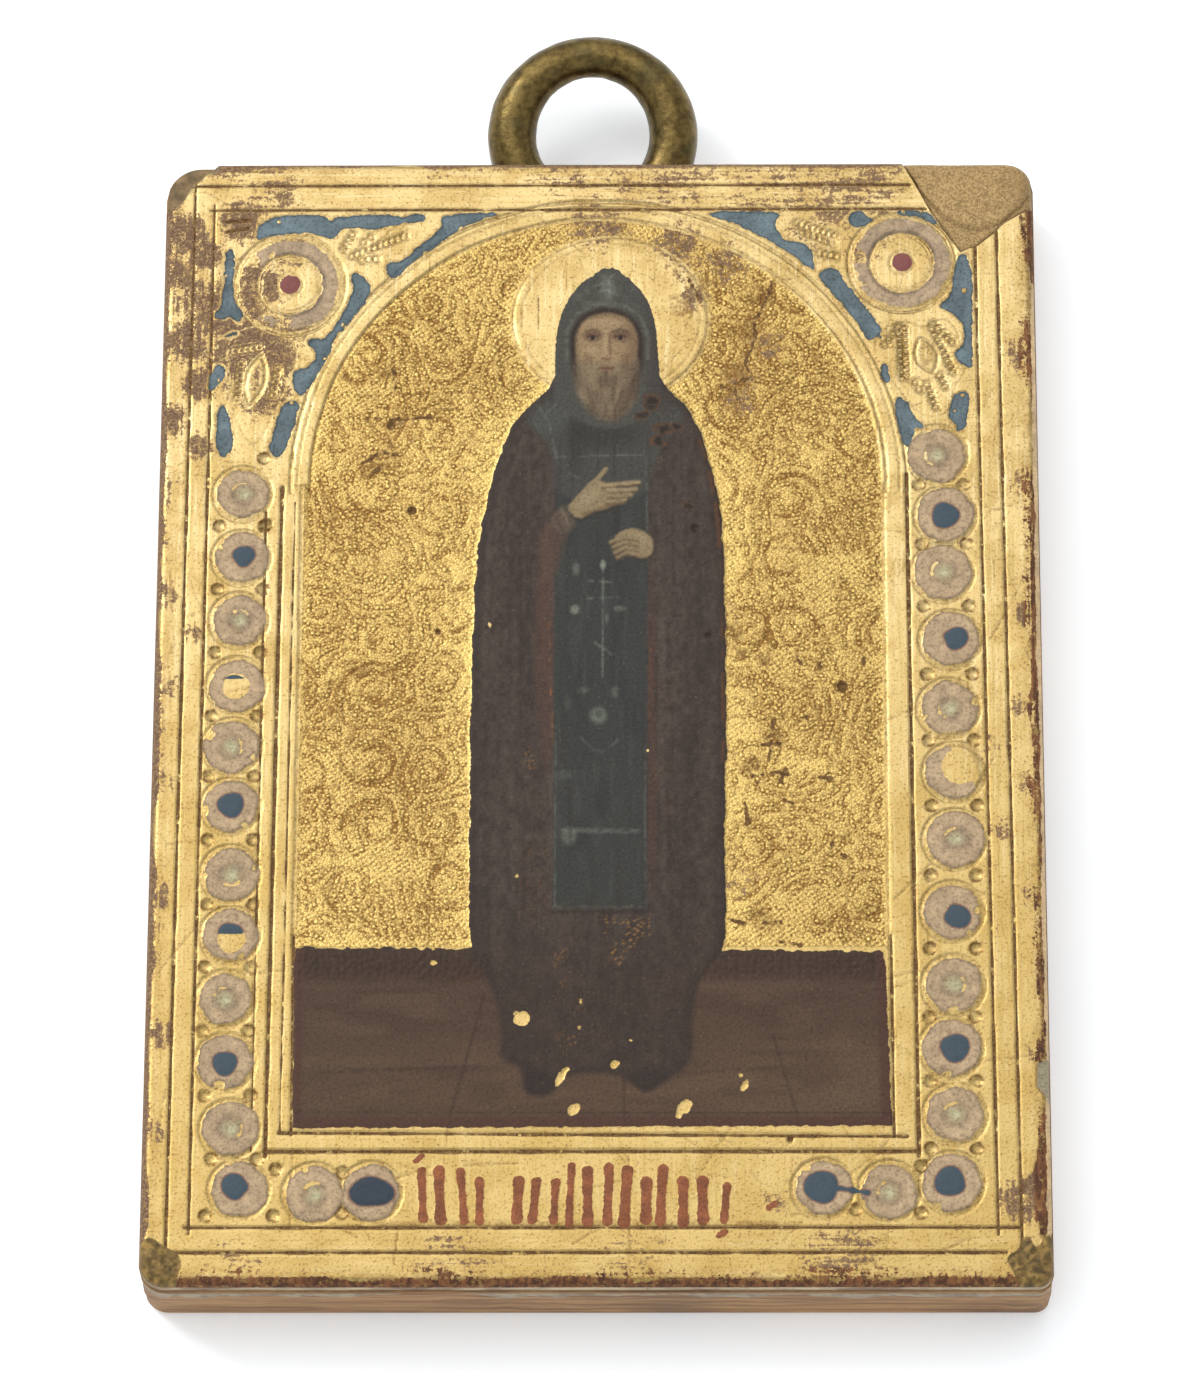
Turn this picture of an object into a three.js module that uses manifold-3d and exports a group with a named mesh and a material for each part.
// A small gilded icon panel, lying on its back: a wooden board with a thick gesso coat on its face, a repair
// fill in one lost corner of the gesso, and a brass ring let into the top edge.
// Millimetres. X runs to the right, Y to the ring, Z out of the painted face. The origin is the middle of the
// board's flat back.

import * as THREE from "three";
import { mergeVertices } from "three/addons/utils/BufferGeometryUtils.js";
import Module from "manifold-3d";

const wasm = await Module();
wasm.setup();

// Board and gesso
const BOARD_WIDTH = 89;
const BOARD_HEIGHT = 119.4;
const WOOD_THICKNESS = 8.5;
const GESSO_THICKNESS = 2;
const CORNER_RADII = { topLeft: 3.6, topRight: 2.8, bottomRight: 1.6, bottomLeft: 2.5 };
const CORNER_STEPS = 6;
const BACK_ARRIS = 0.7;
const GESSO_ARRIS = 0.9;
const GESSO_SETBACK = 0.15;

// The chip at the top left corner, along each edge, and how far down it goes into the gesso
const CHIP_ALONG_TOP = 5.2;
const CHIP_ALONG_SIDE = 5.6;
const CHIP_FLOOR = 0.5;

// The repair fill at the top right corner
const FILL_ALONG_TOP = 13.6;
const FILL_ALONG_SIDE = 5.4;
const FILL_POINT_IN = 7.6;
const FILL_POINT_DOWN = 10.4;
const FILL_SUNK = 0.15;
const FILL_GAP = 0.3;

// Incised lines: how far each stands in from the board's edges. Upright lines are scribed a little deeper than
// level ones, and where two cross they run on past each other.
const LINE_WIDTH = 0.45;
const UPRIGHT_DEPTH = 0.35;
const LEVEL_DEPTH = 0.3;
const OVERRUN = 0.7;
const OUTER_LINE = { side: 3, top: 2.8, bottom: 3.4 };
const SECOND_LINE = { side: 5.4, top: 5.5, bottom: 6 };
const INNER_LINE = { side: 12.7, bottom: 13.6 };
const INNER_LINE_WIDTH = 0.65;

// The arch over the figure, and the line round the gold ground and the painted floor inside it
const ARCH_SPRING_BELOW_TOP = 35.7;
const ARCH_BAND = 2.2;
const ARCH_DEPTH = 0.4;
const ARCH_STEPS = 40;
const GROUND_FOOT = 15.9;
const FLOOR_HEIGHT = 18.4;

// The halo's incised rim
const HALO_CENTRE = { right: 1.2, belowTop: 17.7 };
const HALO_DEPTH = 0.25;
const HALO_WIDTH = 19.9;
const HALO_HEIGHT = 18.2;
const HALO_STEPS = 32;
const HALO_OPEN_BELOW = 0.62;

// Discs in their columns, in recessed circles, and the punched dots between them
const DISC_RADIUS = 2.65;
const DISC_DEPTH = 0.2;
const DISC_STEPS = 16;
const DISCS_IN_COLUMN = 12;
const TOP_DISC_BELOW_TOP = { left: 36.8, right: 32.6 };
const TITLE_ROW = 9.6;
const TITLE_DISC_INSETS = [17, 22.6];
const DOT_RADIUS = 0.6;
const DOT_DEPTH = 0.3;
const DOT_STEPS = 6;
const DOT_SPREAD = 2.2;

// Corner rosettes: each a recessed ring round a flat disc, with a dimple in its middle
const ROSETTES = [
  { side: -1, inset: 13.2, below: 13.2, outer: 5.4, inner: 3.3 },
  { side: 1, inset: 13.3, below: 11.4, outer: 4.9, inner: 3.05 },
];
const ROSETTE_STEPS = 28;
const ROSETTE_DEPTH = 0.25;
const ROSETTE_DIMPLE = 1.1;
const ROSETTE_CLEAR = 0.8;

// Recessed fields between the arch and the border, and the leaves that stand in them
const FIELD_DEPTH = 0.18;
const FIELD_CLEAR = 0.7;
const FIELD_ABOVE_DISC = 3.4;
const LEAF_LENGTH = 12.5;
const LEAF_WIDTH = 5.2;
const LEAF_LOBES = 3;
const LEAF_LOBE_SHARE = 0.16;
const LEAF_STEPS = 30;
const LEAF_AIMS = [0.42, -1.62];

// Tooled scrolls in the gold ground, mirrored about the arch's middle
const SCROLL_GROOVE = 0.5;
const SCROLL_DEPTH = 0.16;
const SCROLL_TURNS = 1.3;
const SCROLL_STEPS = 21;
const SCROLL_OUTER = 4.3;
const SCROLL_INNER = 1.2;
const SCROLL_FROM_LINE = 7;
const SCROLL_ABOVE_SPRING = 7;
const SCROLL_ABOVE_FLOOR = 6.5;
const SCROLL_ROWS = 6;

// Ring
const RING_WIRE = 5;
const RING_WIRE_WORN = 4.2;
const RING_HOLE = 11.7;
const RING_OFF_CENTRE = -0.75;
const RING_RISE = 4.75;
const RING_LEAN = THREE.MathUtils.degToRad(13);
const RING_SEGMENTS = 40;
const RING_SIDES = 12;
const RING_GAP = 0.3;
const SLOT_MIDDLE = 5.2;

const HALF_WIDTH = BOARD_WIDTH / 2;
const HALF_HEIGHT = BOARD_HEIGHT / 2;
const FACE = WOOD_THICKNESS + GESSO_THICKNESS;
const ABOVE = FACE + 1;
const BEYOND_EDGE = 2;

const wood = new THREE.MeshStandardMaterial({ color: 0xa07350, roughness: 0.75, metalness: 0 });
const gilding = new THREE.MeshStandardMaterial({ color: 0xdcb85e, roughness: 0.4, metalness: 0.8 });
const bronzePaint = new THREE.MeshStandardMaterial({ color: 0xb08c50, roughness: 0.6, metalness: 0.4 });
const agedBrass = new THREE.MeshStandardMaterial({ color: 0x7a6535, roughness: 0.4, metalness: 0.9 });

// Geometry helpers

function toSolid(geometry) {
  const bare = geometry.clone();
  bare.deleteAttribute("normal");
  bare.deleteAttribute("uv");
  const merged = mergeVertices(bare, 1e-4);
  return new wasm.Manifold(new wasm.Mesh({
    numProp: 3,
    vertProperties: new Float32Array(merged.attributes.position.array),
    triVerts: new Uint32Array(merged.index.array),
  }));
}

function toGeometry(solid) {
  const { vertProperties, triVerts } = solid.getMesh();
  const geometry = new THREE.BufferGeometry();
  geometry.setAttribute("position", new THREE.BufferAttribute(new Float32Array(vertProperties), 3));
  geometry.setIndex(new THREE.BufferAttribute(new Uint32Array(triVerts), 1));
  return geometry;
}

function prism(outline, low, high) {
  const geometry = new THREE.ExtrudeGeometry(new THREE.Shape(outline), {
    depth: high - low,
    bevelEnabled: false,
  });
  geometry.translate(0, 0, low);
  return toSolid(geometry);
}

function cut(solid, cutters) {
  return cutters.reduce((body, cutter) => body.subtract(cutter), solid);
}

// The board's outline, drawn in by an inset, anticlockwise from the bottom right corner
function boardOutline(inset) {
  const corners = [
    [1, -1, CORNER_RADII.bottomRight],
    [1, 1, CORNER_RADII.topRight],
    [-1, 1, CORNER_RADII.topLeft],
    [-1, -1, CORNER_RADII.bottomLeft],
  ];
  return corners.flatMap(([sideX, sideY, radius], index) => {
    const centre = new THREE.Vector2(sideX * (HALF_WIDTH - radius), sideY * (HALF_HEIGHT - radius));
    const start = (index - 1) * (Math.PI / 2);
    return Array.from({ length: CORNER_STEPS + 1 }, (_, step) => {
      const angle = start + (step / CORNER_STEPS) * (Math.PI / 2);
      return new THREE.Vector2(Math.cos(angle), Math.sin(angle))
        .multiplyScalar(radius - inset)
        .add(centre);
    });
  });
}

// A closed solid from the board's outline at several heights, each drawn in by its own inset
function layeredBoard(levels) {
  const rings = levels.map(({ z, inset }) => boardOutline(inset).map((p) => [p.x, p.y, z]));
  const count = rings[0].length;
  const triangles = [];
  for (let level = 0; level + 1 < rings.length; level += 1) {
    for (let i = 0; i < count; i += 1) {
      const a = level * count + i;
      const b = level * count + ((i + 1) % count);
      triangles.push(a, b, b + count, a, b + count, a + count);
    }
  }
  const top = (rings.length - 1) * count;
  const faces = THREE.ShapeUtils.triangulateShape(boardOutline(levels.at(-1).inset), []);
  faces.forEach(([a, b, c]) => triangles.push(top + a, top + b, top + c, c, b, a));
  const geometry = new THREE.BufferGeometry();
  geometry.setAttribute("position", new THREE.Float32BufferAttribute(rings.flat(2), 3));
  geometry.setIndex(triangles);
  return toSolid(geometry);
}

function circle(x, y, radiusX, radiusY, steps) {
  return Array.from({ length: steps }, (_, step) => {
    const angle = (step / steps) * 2 * Math.PI;
    return new THREE.Vector2(x + radiusX * Math.cos(angle), y + radiusY * Math.sin(angle));
  });
}

// A groove cutter of one width along a line of points
function groove(points, width, depth) {
  const sides = points.map((point, index) => {
    const before = points[Math.max(index - 1, 0)];
    const after = points[Math.min(index + 1, points.length - 1)];
    const across = new THREE.Vector2(before.y - after.y, after.x - before.x).setLength(width / 2);
    return [point.clone().add(across), point.clone().sub(across)];
  });
  const left = sides.map((pair) => pair[0]);
  const right = sides.map((pair) => pair[1]);
  return prism([...right, ...left.reverse()], FACE - depth, ABOVE);
}

function uprightGroove(x, low, high) {
  return groove([new THREE.Vector2(x, low), new THREE.Vector2(x, high)], LINE_WIDTH, UPRIGHT_DEPTH);
}

function levelGroove(y, halfLength) {
  return groove([new THREE.Vector2(-halfLength, y), new THREE.Vector2(halfLength, y)], LINE_WIDTH, LEVEL_DEPTH);
}

function loopGroove(outer, inner, depth) {
  return prism(outer, FACE - depth, ABOVE).subtract(prism(inner, 0, ABOVE + 1));
}

function rectangle(left, bottom, right, top) {
  return [[left, bottom], [right, bottom], [right, top], [left, top]].map(([x, y]) => new THREE.Vector2(x, y));
}

function dimple(x, y, radius, depth, steps) {
  return prism(circle(x, y, radius, radius, steps), FACE - depth, ABOVE);
}

// Places shared by the lines, the arch and the discs
const innerX = HALF_WIDTH - INNER_LINE.side;
const secondX = HALF_WIDTH - SECOND_LINE.side;
const secondTop = HALF_HEIGHT - SECOND_LINE.top;
const titleTop = -HALF_HEIGHT + INNER_LINE.bottom;
const columnX = (innerX + secondX) / 2;
const groundX = innerX - ARCH_BAND;
const titleRowY = -HALF_HEIGHT + TITLE_ROW;
const springY = HALF_HEIGHT - ARCH_SPRING_BELOW_TOP;
const groundFootY = -HALF_HEIGHT + GROUND_FOOT;

function borderLines() {
  const outerX = HALF_WIDTH - OUTER_LINE.side;
  const outerTop = HALF_HEIGHT - OUTER_LINE.top;
  const outerBottom = -HALF_HEIGHT + OUTER_LINE.bottom;
  const secondBottom = -HALF_HEIGHT + SECOND_LINE.bottom;
  const uprights = [-1, 1].flatMap((side) => [
    uprightGroove(side * outerX, outerBottom - OVERRUN, outerTop + OVERRUN),
    uprightGroove(side * secondX, outerBottom - OVERRUN, secondTop + OVERRUN),
  ]);
  return [
    ...uprights,
    levelGroove(outerTop, outerX + OVERRUN),
    levelGroove(secondTop, secondX + OVERRUN),
    levelGroove(secondBottom, secondX + OVERRUN),
    levelGroove(outerBottom, outerX + OVERRUN),
  ];
}

// The outline of a round-headed opening with a level foot
function archOutline(halfSpan, foot) {
  const points = [new THREE.Vector2(-halfSpan, foot), new THREE.Vector2(halfSpan, foot)];
  for (let step = 0; step <= ARCH_STEPS; step += 1) {
    const angle = (step / ARCH_STEPS) * Math.PI;
    points.push(new THREE.Vector2(halfSpan * Math.cos(angle), springY + halfSpan * Math.sin(angle)));
  }
  return points;
}

// The two lines of the arch; the outer one is cut off where it meets the border's second line
function archGrooves() {
  const belowTopLine = prism(rectangle(-HALF_WIDTH, -HALF_HEIGHT, HALF_WIDTH, secondTop), FACE - 1, ABOVE);
  const lines = [[innerX, titleTop, INNER_LINE_WIDTH], [groundX, groundFootY, LINE_WIDTH]];
  return lines.map(([halfSpan, foot, width]) => loopGroove(
    archOutline(halfSpan + width / 2, foot - width / 2),
    archOutline(halfSpan - width / 2, foot + width / 2),
    ARCH_DEPTH,
  ).intersect(belowTopLine));
}

function haloGroove() {
  const points = Array.from({ length: HALO_STEPS + 1 }, (_, step) => {
    const share = step / HALO_STEPS;
    const angle = -Math.PI / 2 + HALO_OPEN_BELOW + share * 2 * (Math.PI - HALO_OPEN_BELOW);
    return new THREE.Vector2(
      HALO_CENTRE.right + (HALO_WIDTH / 2) * Math.cos(angle),
      HALF_HEIGHT - HALO_CENTRE.belowTop + (HALO_HEIGHT / 2) * Math.sin(angle),
    );
  });
  return groove(points, LINE_WIDTH, HALO_DEPTH);
}

function topDiscY(side) {
  return HALF_HEIGHT - (side < 0 ? TOP_DISC_BELOW_TOP.left : TOP_DISC_BELOW_TOP.right);
}

// One column of disc centres, from its top disc down to the row beside the title
function discColumn(side) {
  const pitch = (topDiscY(side) - titleRowY) / (DISCS_IN_COLUMN - 1);
  return Array.from({ length: DISCS_IN_COLUMN }, (_, i) => [side * columnX, topDiscY(side) - i * pitch]);
}

function discsAndDots() {
  const columns = [-1, 1].map(discColumn);
  const row = TITLE_DISC_INSETS.flatMap((inset) => {
    const x = HALF_WIDTH - inset;
    return [[-x, titleRowY], [x, titleRowY]];
  });
  const discs = [...columns.flat(), ...row].map(([x, y]) => dimple(x, y, DISC_RADIUS, DISC_DEPTH, DISC_STEPS));
  const dots = columns.flatMap((column) => column.slice(1).flatMap(([x, y], index) => {
    const between = (y + column[index][1]) / 2;
    return [-1, 1].map((side) => dimple(x + side * DOT_SPREAD, between, DOT_RADIUS, DOT_DEPTH, DOT_STEPS));
  }));
  return [...discs, ...dots];
}

function rosetteCentre({ side, inset, below }) {
  return { x: side * (HALF_WIDTH - inset), y: HALF_HEIGHT - below };
}

function rosetteRings() {
  return ROSETTES.flatMap((rosette) => {
    const { x, y } = rosetteCentre(rosette);
    const { outer, inner } = rosette;
    const island = prism(circle(x, y, inner, inner, ROSETTE_STEPS), 0, ABOVE + 1);
    const ring = prism(circle(x, y, outer, outer, ROSETTE_STEPS), FACE - ROSETTE_DEPTH, ABOVE);
    return [ring.subtract(island), dimple(x, y, ROSETTE_DIMPLE, ROSETTE_DEPTH, DISC_STEPS)];
  });
}

// A lobed leaf that starts at a point and runs along an angle
function leafOutline(x, y, aim, side) {
  return Array.from({ length: LEAF_STEPS }, (_, step) => {
    const turn = (step / LEAF_STEPS) * 2 * Math.PI;
    const along = (LEAF_LENGTH / 2) * (1 - Math.cos(turn));
    const lobes = 1 + LEAF_LOBE_SHARE * Math.cos(2 * LEAF_LOBES * turn);
    const across = (LEAF_WIDTH / 2) * Math.sin(turn) * lobes;
    return new THREE.Vector2(
      x + side * (along * Math.cos(aim) - across * Math.sin(aim)),
      y + along * Math.sin(aim) + across * Math.cos(aim),
    );
  });
}

// The recessed field in each upper corner, round its rosette and leaves
function cornerFields() {
  const arch = prism(archOutline(innerX + FIELD_CLEAR, -HALF_HEIGHT), 0, ABOVE + 1);
  return ROSETTES.map((rosette) => {
    const { x, y } = rosetteCentre(rosette);
    const { side, outer } = rosette;
    const foot = topDiscY(side) + FIELD_ABOVE_DISC;
    const edge = secondX - FIELD_CLEAR;
    const left = Math.min(0, side * edge);
    const field = prism(
      rectangle(left, foot, left + edge, secondTop - FIELD_CLEAR),
      FACE - FIELD_DEPTH,
      ABOVE,
    );
    const clear = outer + ROSETTE_CLEAR;
    const rosetteDisc = prism(circle(x, y, clear, clear, ROSETTE_STEPS), 0, ABOVE + 1);
    const leaves = LEAF_AIMS.map((aim) => {
      const start = { x: x - side * outer * Math.cos(aim), y: y + outer * Math.sin(aim) };
      return prism(leafOutline(start.x, start.y, aim, -side), 0, ABOVE + 1);
    });
    return cut(field, [arch, rosetteDisc, ...leaves]);
  });
}

// Volutes tooled into the gold on both sides of the figure, turning the other way in every second row
function scrollGrooves() {
  const top = springY + SCROLL_ABOVE_SPRING;
  const bottom = groundFootY + FLOOR_HEIGHT + SCROLL_ABOVE_FLOOR;
  const pitch = (top - bottom) / (SCROLL_ROWS - 1);
  return Array.from({ length: SCROLL_ROWS }, (_, row) => [-1, 1].map((side) => {
    const hand = row % 2 === 0 ? 1 : -1;
    const centre = { x: side * (groundX - SCROLL_FROM_LINE), y: top - row * pitch };
    const points = Array.from({ length: SCROLL_STEPS + 1 }, (_, step) => {
      const share = step / SCROLL_STEPS;
      const angle = hand * (Math.PI / 2 - share * SCROLL_TURNS * 2 * Math.PI);
      const radius = SCROLL_OUTER + (SCROLL_INNER - SCROLL_OUTER) * share;
      return new THREE.Vector2(
        centre.x + side * radius * Math.cos(angle),
        centre.y + radius * Math.sin(angle),
      );
    });
    return groove(points, SCROLL_GROOVE, SCROLL_DEPTH);
  })).flat();
}

function chipCutter() {
  const corner = new THREE.Vector2(-HALF_WIDTH, HALF_HEIGHT);
  return prism([
    new THREE.Vector2(corner.x - BEYOND_EDGE, corner.y - CHIP_ALONG_SIDE),
    new THREE.Vector2(corner.x + CHIP_ALONG_TOP * 0.27, corner.y - CHIP_ALONG_SIDE * 0.9),
    new THREE.Vector2(corner.x + CHIP_ALONG_TOP * 0.62, corner.y - CHIP_ALONG_SIDE * 0.4),
    new THREE.Vector2(corner.x + CHIP_ALONG_TOP, corner.y - CHIP_ALONG_SIDE * 0.16),
    new THREE.Vector2(corner.x + CHIP_ALONG_TOP, corner.y + BEYOND_EDGE),
    new THREE.Vector2(corner.x - BEYOND_EDGE, corner.y + BEYOND_EDGE),
  ], WOOD_THICKNESS + CHIP_FLOOR, ABOVE);
}

// The broken edge of the gesso round the fill; the fill itself is drawn in from it by the gap
function fillOutline(shrink) {
  const corner = new THREE.Vector2(HALF_WIDTH, HALF_HEIGHT);
  const at = (left, down) => new THREE.Vector2(corner.x - left, corner.y - down);
  return [
    at(-BEYOND_EDGE, -BEYOND_EDGE),
    at(FILL_ALONG_TOP - shrink, -BEYOND_EDGE),
    at(FILL_ALONG_TOP - shrink, 0),
    at(FILL_POINT_IN * 1.4 - shrink, FILL_POINT_DOWN * 0.56 - shrink),
    at(FILL_POINT_IN - shrink / 2, FILL_POINT_DOWN - 1.5 * shrink),
    at(FILL_POINT_IN * 0.75, FILL_POINT_DOWN * 0.92 - 1.2 * shrink),
    at(FILL_POINT_IN * 0.34, FILL_ALONG_SIDE * 1.26 - 1.2 * shrink),
    at(-BEYOND_EDGE, FILL_ALONG_SIDE - shrink),
  ];
}

function makeRing() {
  // A torus whose wire is thinner at the top, where it hung
  const centreRadius = (RING_HOLE + RING_WIRE) / 2;
  const positions = [];
  const triangles = [];
  for (let i = 0; i < RING_SEGMENTS; i += 1) {
    const around = (i / RING_SEGMENTS) * 2 * Math.PI;
    const worn = Math.max(Math.sin(around), 0) ** 2;
    const wire = THREE.MathUtils.lerp(RING_WIRE, RING_WIRE_WORN, worn) / 2;
    for (let j = 0; j < RING_SIDES; j += 1) {
      const turn = (j / RING_SIDES) * 2 * Math.PI;
      const reach = centreRadius + wire * Math.cos(turn);
      positions.push(reach * Math.cos(around), reach * Math.sin(around), wire * Math.sin(turn));
      const nextI = ((i + 1) % RING_SEGMENTS) * RING_SIDES;
      const nextJ = (j + 1) % RING_SIDES;
      triangles.push(i * RING_SIDES + j, nextI + j, nextI + nextJ);
      triangles.push(i * RING_SIDES + j, nextI + nextJ, i * RING_SIDES + nextJ);
    }
  }
  const geometry = new THREE.BufferGeometry();
  geometry.setAttribute("position", new THREE.Float32BufferAttribute(positions, 3));
  geometry.setIndex(triangles);
  return geometry;
}

// The ring and its slot share one place: the slot's middle at the top edge, leaning up out of the board
const ringPlace = new THREE.Matrix4()
  .makeTranslation(
    RING_OFF_CENTRE,
    HALF_HEIGHT + RING_RISE * Math.cos(RING_LEAN),
    SLOT_MIDDLE + RING_RISE * Math.sin(RING_LEAN),
  )
  .multiply(new THREE.Matrix4().makeRotationX(RING_LEAN));

function slotCutter() {
  const radius = RING_HOLE / 2 + RING_WIRE + RING_GAP;
  const thickness = RING_WIRE + 2 * RING_GAP;
  const geometry = new THREE.ExtrudeGeometry(
    new THREE.Shape(circle(0, 0, radius, radius, RING_SEGMENTS)),
    { depth: thickness, bevelEnabled: false },
  );
  geometry.translate(0, 0, -thickness / 2);
  geometry.applyMatrix4(ringPlace);
  return toSolid(geometry);
}

const boardSolid = layeredBoard([
  { z: 0, inset: BACK_ARRIS },
  { z: BACK_ARRIS, inset: 0 },
  { z: WOOD_THICKNESS, inset: 0 },
]).subtract(slotCutter());

const gessoBlank = layeredBoard([
  { z: WOOD_THICKNESS, inset: GESSO_SETBACK },
  { z: FACE - GESSO_ARRIS, inset: GESSO_SETBACK },
  { z: FACE - GESSO_ARRIS * 0.35, inset: GESSO_SETBACK + GESSO_ARRIS * 0.25 },
  { z: FACE, inset: GESSO_SETBACK + GESSO_ARRIS },
]);

const fillSolid = gessoBlank.intersect(prism(fillOutline(FILL_GAP), 0, FACE - FILL_SUNK));

const gessoSolid = cut(gessoBlank, [
  ...borderLines(),
  ...archGrooves(),
  haloGroove(),
  ...discsAndDots(),
  ...rosetteRings(),
  ...cornerFields(),
  ...scrollGrooves(),
  chipCutter(),
  prism(fillOutline(0), 0, ABOVE),
]);

function piece(name, geometry, material) {
  const mesh = new THREE.Mesh(geometry, material);
  mesh.name = name;
  return mesh;
}

const ring = piece("hanging_ring", makeRing(), agedBrass);
ring.applyMatrix4(ringPlace);

const icon = new THREE.Group();
icon.add(
  piece("wooden_board", toGeometry(boardSolid), wood),
  piece("gilded_gesso", toGeometry(gessoSolid), gilding),
  piece("corner_fill", toGeometry(fillSolid), bronzePaint),
  ring,
);

export default icon;
